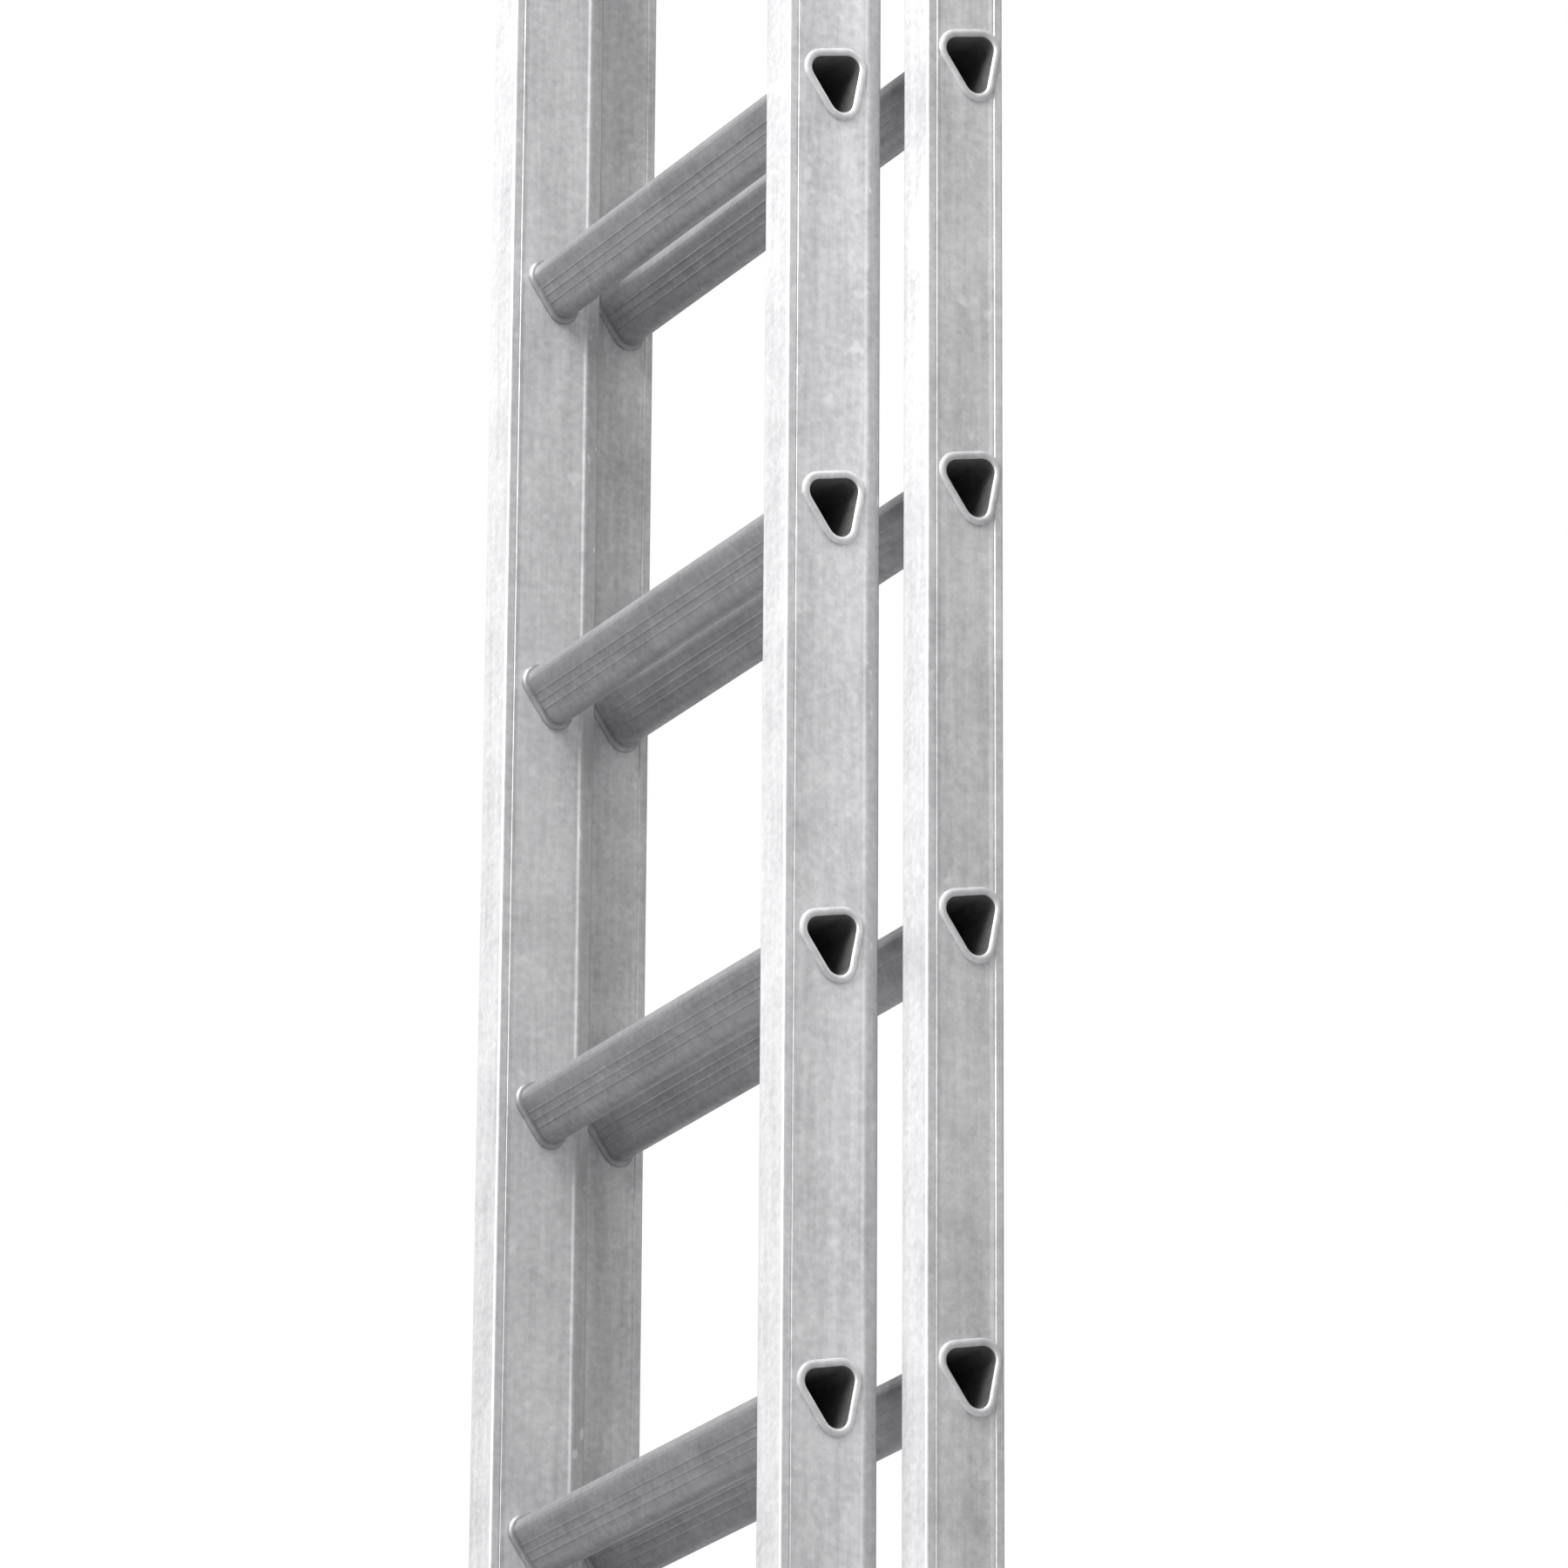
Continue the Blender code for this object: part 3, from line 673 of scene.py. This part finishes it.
def bent_strip(path, thickness):
    """A bent strip seen on edge: path is one face of it, and the other is thickness to the left."""
    near, far = [path[0]], [path[0] + thickness * left_of((path[1] - path[0]).normalized())]
    for before, corner, after in zip(path, path[1:], path[2:]):
        run, next_run = (corner - before).normalized(), (after - corner).normalized()
        turn = atan2(run.cross(next_run), run.dot(next_run))
        way = 1 if turn > 0 else -1
        radius = BEND + max(way * thickness, 0)
        centre = corner - run * radius * tan(abs(turn) / 2) + way * radius * left_of(run)
        outward = -way * left_of(run)
        start = atan2(outward.y, outward.x)
        near += arc(centre, radius, start, start + turn, 6)
        far += arc(centre, radius - way * thickness, start, start + turn, 6)
    near.append(path[-1])
    far.append(path[-1] + thickness * left_of((path[-1] - path[-2]).normalized()))
    return near + far[::-1]


def round_off(bm, edges, offset, segments):
    """Rounds some edges of a blank."""
    bmesh.ops.bevel(bm, geom=edges, offset=offset, segments=segments, profile=0.5, affect="EDGES",
                    material=-1, clamp_overlap=True)


def zinc(name, dark, light, roughness):
    """Bright zinc plating: a faint blue-grey spangle, cloudy passivation and dull rub marks."""
    material = bpy.data.materials.new(name)
    nodes = Nodes(material)
    place = nodes.make("TexCoord", output="Object")
    warp = nodes.make("Mapping", {}, {"Vector": place, "Rotation": (0.3, 0.2, 0.5), "Scale": (1, 1.4, 0.8)})
    cells = nodes.make("TexVoronoi", {"feature": "F1"}, {"Vector": warp, "Scale": 210}, "Distance")
    spangle = cells.over(0.1, 0.8)
    clouds = nodes.noise(place, 38, 5, 0.6)
    grain = nodes.noise(place, 620, 3, 0.55)
    sideways = nodes.make("Mapping", {}, {"Vector": place, "Scale": (1, 1, 9)})
    marks = nodes.noise(sideways, 90, 3, 0.5).over(0.6, 0.72)
    tone = 0.30 * spangle + 0.50 * clouds.over(0.35, 0.68) + 0.20 * grain
    relief = 0.5 * grain + 0.3 * spangle - 0.3 * marks
    nodes.feed(nodes.tree.nodes["Principled BSDF"], {
        "Base Color": nodes.blend(tone, (*dark, 1), (*light, 1)),
        "Metallic": 0.92,
        "Roughness": roughness + 0.12 * (1 - clouds) + 0.12 * marks,
        "Normal": nodes.make("Bump", {}, {"Strength": 0.25, "Distance": 0.00015, "Height": relief}),
    })
    return material


strap_finish = zinc("strap_zinc_finish", (0.46, 0.48, 0.51), (0.74, 0.76, 0.79), 0.34)
fly_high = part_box("fly_stile_right")[1]
base_low, base_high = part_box("base_stile_right")
gap_face = (fly_high.y + base_low.y + STRAP) / 2
arm_face = fly_high.x + COLLAR_ROOM + STRAP

for section, thickness in (("base", STRAP), ("fly", -STRAP)):
    low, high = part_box(section + "_guide_right")
    if section == "base":
        corners = ((low.x, low.y), (arm_face, low.y), (arm_face, high.y - STRAP), (high.x, high.y - STRAP))
        holes = BACKWARDS
    else:
        corners = ((low.x, low.y), (low.x, gap_face), (high.x - STRAP, gap_face),
                   (high.x - STRAP, high.y - STRAP), (base_high.x - LIP_LENGTH, high.y - STRAP))
        holes = ACROSS
    outline = bent_strip([Vector(corner) for corner in corners], thickness)
    for label, side in SIDES:
        node = f"{section}_guide_{label}"
        bm = bmesh.new()
        blank = bm.faces.new([bm.verts.new((side * p.x, p.y, low.z)) for p in outline])
        middle = len(outline) // 2
        ends = [Vector((side * outline[i].x, outline[i].y)) for i in (0, -1, middle - 1, middle)]
        grow_solid(bm, [blank], (0, 0, high.z - low.z))
        corners = [e for e in bm.edges if abs(e.verts[0].co.z - e.verts[1].co.z) < TOUCH
                   and all(min((v.co.xy - end).length for end in ends) < TOUCH for v in e.verts)
                   and abs(e.calc_length() - STRAP) < 10 * TOUCH]
        round_off(bm, corners, STRAP_CORNER, 6)
        round_off(bm, [e for e in bm.edges if e.calc_face_angle(0) > SHARP], STRAP_EDGE, 2)
        strap = solid(node + "_pressing", bm, strap_finish)
        tool = bmesh.new()
        for number in (1, 2):
            drill(tool, f"{section}_guide_rivet_{label}_{number}", holes, RIVET_HOLE)
        carve(strap, solid("drill", tool, strap_finish))
        fit(strap, section, "strap_steel", node)


# Rivets: twelve zinc-plated blind rivets. Each has a low domed head with the broken-off mandrel sunk
# in its middle, and a shank that swells behind the wall it holds.
SWELL = ((0.0, 0.0), (0.0, 0.0012), (0.0004, 0.0019), (0.0012, 0.0024))
DOME = ((-0.0027, 0.0024), (-0.0026, 0.0056), (-0.0023, 0.0058), (-0.0019, 0.0057), (-0.0013, 0.0051),
        (-0.0007, 0.0041), (-0.0002, 0.0029), (0.0, 0.0021), (-0.0001, 0.0017), (-0.0007, 0.0015),
        (-0.0008, 0.0012), (-0.0006, 0.0007), (-0.0005, 0.0))


def turned(profile, tip, direction, steps=28):
    """A round solid spun from (distance, radius) points. Distance nought is at the tip."""
    bm = bmesh.new()
    verts = [bm.verts.new((radius, 0, distance)) for distance, radius in profile]
    edges = [bm.edges.new(pair) for pair in zip(verts, verts[1:])]
    bmesh.ops.spin(bm, geom=verts + edges, axis=(0, 0, 1), cent=(0, 0, 0), angle=tau, steps=steps,
                   use_merge=True)
    bmesh.ops.remove_doubles(bm, verts=bm.verts, dist=TOUCH)
    bmesh.ops.recalc_face_normals(bm, faces=bm.faces)
    bmesh.ops.rotate(bm, verts=bm.verts, matrix=pointing(direction))
    bmesh.ops.translate(bm, verts=bm.verts, vec=tip)
    return bm


def span(node, direction):
    """A fastener's end on the side that direction points to, and its length, from its CAD box."""
    low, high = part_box(node)
    reach = Vector([abs(step) * size / 2 for step, size in zip(direction, high - low)])
    return (low + high) / 2 + reach * (1 if sum(direction) > 0 else -1), 2 * reach.length


fastener_finish = zinc("fastener_zinc_finish", (0.50, 0.51, 0.53), (0.80, 0.81, 0.83), 0.26)
rivets = []
for label, side in SIDES:
    rivets += [(f"base_guide_rivet_{label}_{number}", "base", (0, -1, 0)) for number in (1, 2)]
    rivets += [(f"fly_guide_rivet_{label}_{number}", "fly", (side, 0, 0)) for number in (1, 2)]
    rivets += [(f"{section}_shoe_rivet_{label}", section, (side, 0, 0)) for section in SECTIONS]

for node, section, direction in rivets:
    tip, length = span(node, direction)
    profile = [(distance - length, radius) for distance, radius in SWELL] + list(DOME)
    rivet = solid(node + "_fixing", turned(profile, tip, direction), fastener_finish)
    fit(rivet, section, "fastener_steel", node)


# Hooks: two plates cut from 6 mm aluminium, with every edge broken. Each hangs from a bolt inside a
# fly stile, and its mouth drops over a base rung. Here they are swung up out of the way.
HOOK_BOSS = 0.015
HOOK_RIM = 0.009
HOOK_ROOM = 0.0008
HOOK_TIP = 0.010
HOOK_EDGE = 0.0009
HOOK_BORE = 0.0053
BOSS_START, BOSS_END = radians(44), radians(224)
MOUTH_START = radians(135)
BACK_END = radians(110)
TIP_FLATNESS = 0.7

joints = {joint["name"]: joint for joint in frame["record"]["behaviour"]["joints"]}
hook_finish = aluminium("hook_satin_finish", dark=(0.52, 0.52, 0.53), light=(0.74, 0.74, 0.75),
                        stretch=(1, 6, 1), roughness=0.34)


def hook_outline(rung):
    """Seen along X about the pivot, with the hook seated on a rung: boss, arm and mouth."""
    _, rear, front = [(Vector((y, z)) + rung, radius) for y, z, radius in CORNERS]
    tread, back = side_normal(1) + tau, side_normal(0)
    drop = Vector((sin(back), -cos(back))) * HOOK_TIP
    reach = HOOK_ROOM + HOOK_RIM
    points = arc((0, 0), HOOK_BOSS, BOSS_START, BOSS_END, 20)
    points += arc(front[0], front[1] + HOOK_ROOM, MOUTH_START, tread, 5)
    points += arc(rear[0], rear[1] + HOOK_ROOM, tread, back, 10)
    inner, outer = points[-1] + drop, rear[0] + (rear[1] + reach) * bearing(back) + drop
    middle, half = (inner + outer) / 2, (outer - inner).length / 2
    points += arc(middle - drop.normalized() * half * TIP_FLATNESS, half, back + pi, back + tau, 8)
    points += arc(rear[0], rear[1] + reach, back, tread, 12)
    return points + arc(front[0], front[1] + reach, tread, BACK_END, 2)


for label, _ in SIDES:
    node = "hook_" + label
    joint = joints[node + "_swing"]
    pivot = Vector(joint["pos_m"])
    low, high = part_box(node)
    bm = bmesh.new()
    outline = hook_outline(rung_place("base", 1) - pivot.yz)
    blank = bm.faces.new([bm.verts.new((low.x - pivot.x, p.x, p.y)) for p in outline])
    grow_solid(bm, [blank], (high.x - low.x, 0, 0))
    rims = [edge for edge in bm.edges if abs(edge.verts[0].co.x - edge.verts[1].co.x) < TOUCH]
    round_off(bm, rims, HOOK_EDGE, 3)
    raised = Matrix.Rotation(radians(-joint["range_deg"][0]), 3, "X")
    bmesh.ops.rotate(bm, verts=bm.verts, matrix=raised)
    bmesh.ops.translate(bm, verts=bm.verts, vec=pivot)
    plate = solid(node + "_plate", bm, hook_finish)
    tool = bmesh.new()
    drill(tool, "hook_bolt_" + label, ACROSS, HOOK_BORE)
    carve(plate, solid("drill", tool, hook_finish))
    fit(plate, node, "hook_aluminium", node)


# Hook bolts: a plated hexagon bolt through each fly stile and hook, with a washer under its head on
# the inside and a washer and lock nut on the outside.
BOLT_RADIUS = 0.005
WASHER_RADIUS = 0.0088
WASHER_HEIGHT = 0.0012
HEAD_HEIGHT = 0.0064
NUT_HEIGHT = 0.0077
NUT_SHORT = 0.0015
HEX_CORNER = 0.0076
# (distance, radius) points of the cone that turns a hexagon's corners off, from its far and near ends
HEX_FAR = ((-0.001, 0.0), (-0.001, 0.012))
HEX_NEAR = ((-0.0030, 0.0115), (0.0004, 0.0056), (0.0004, 0.0))
THREAD_START = -0.0034
THREAD_PITCH = 0.0010
THREADS = 3
# (distance, radius) points over a washer, from its bearing side, and over the bolt's rounded point
WASHER = ((0.0, WASHER_RADIUS - 0.0002), (0.0002, WASHER_RADIUS),
          (WASHER_HEIGHT - 0.0003, WASHER_RADIUS), (WASHER_HEIGHT, WASHER_RADIUS - 0.0003),
          (WASHER_HEIGHT, BOLT_RADIUS))
BOLT_POINT = ((-0.0004, BOLT_RADIUS - 0.0006), (0.0, BOLT_RADIUS - 0.0012), (0.0, 0.0))


def hexagon(name, tip, direction, low, high):
    """A hexagon with its corners turned off, between two distances from the tip."""
    bm = bmesh.new()
    place = Matrix.Translation(tip) @ pointing(direction) @ Matrix.Translation((0, 0, (low + high) / 2))
    bmesh.ops.create_cone(bm, cap_ends=True, segments=6, radius1=HEX_CORNER, radius2=HEX_CORNER,
                          depth=high - low, matrix=place)
    made = solid(name, bm, fastener_finish)
    cone = [(low + step, radius) for step, radius in HEX_FAR]
    cone += [(high + step, radius) for step, radius in HEX_NEAR]
    carve(made, solid("turning", turned(cone, tip, direction, 48), fastener_finish), "INTERSECT")
    return made


for label, side in SIDES:
    node = "hook_bolt_" + label
    tip, length = span(node, (side, 0, 0))
    start = HEAD_HEIGHT - length
    end = -NUT_HEIGHT
    hidden_end = start - WASHER_HEIGHT - 0.0010
    profile = [(hidden_end, 0.0), (hidden_end, BOLT_RADIUS - 0.0004)]
    profile += [(start - distance, radius) for distance, radius in reversed(WASHER)]
    profile += [(start, BOLT_RADIUS), (end, BOLT_RADIUS)]
    profile += [(end + distance, radius) for distance, radius in WASHER]
    for turn in range(THREADS):
        root = THREAD_START + turn * THREAD_PITCH
        profile += [(root, BOLT_RADIUS - 0.0005), (root + THREAD_PITCH / 2, BOLT_RADIUS - 0.0001)]
    profile += BOLT_POINT
    shank = solid(node + "_shank", turned(profile, tip, (side, 0, 0), 32), fastener_finish)
    far, _ = span(node, (-side, 0, 0))
    head = hexagon(node + "_head", far, (-side, 0, 0), WASHER_HEIGHT - HEAD_HEIGHT, 0.0)
    nut = hexagon(node + "_nut", tip, (side, 0, 0), end + WASHER_HEIGHT, -NUT_SHORT)
    for made in (shank, head, nut):
        fit(made, "fly", "fastener_steel", node)


# Stop pins: two zinc-plated steel pins, turned with a broad head and pressed into the inner walls of
# the fly stiles. A raised hook leans on its pin's head.
PIN_TAIL = ((0.0, 0.0), (0.0, 0.0021), (0.0004, 0.0025))
PIN_HEAD = ((-0.0082, 0.0025), (-0.0080, 0.0036), (-0.0077, 0.0040), (-0.0008, 0.0040),
            (-0.0003, 0.0037), (0.0, 0.0031), (-0.0002, 0.0012), (-0.0002, 0.0))

for label, side in SIDES:
    node = "hook_stop_" + label
    tip, length = span(node, (-side, 0, 0))
    profile = [(distance - length, radius) for distance, radius in PIN_TAIL] + list(PIN_HEAD)
    pin = solid(node + "_pin", turned(profile, tip, (-side, 0, 0), 32), fastener_finish)
    fit(pin, "fly", "fastener_steel", node)
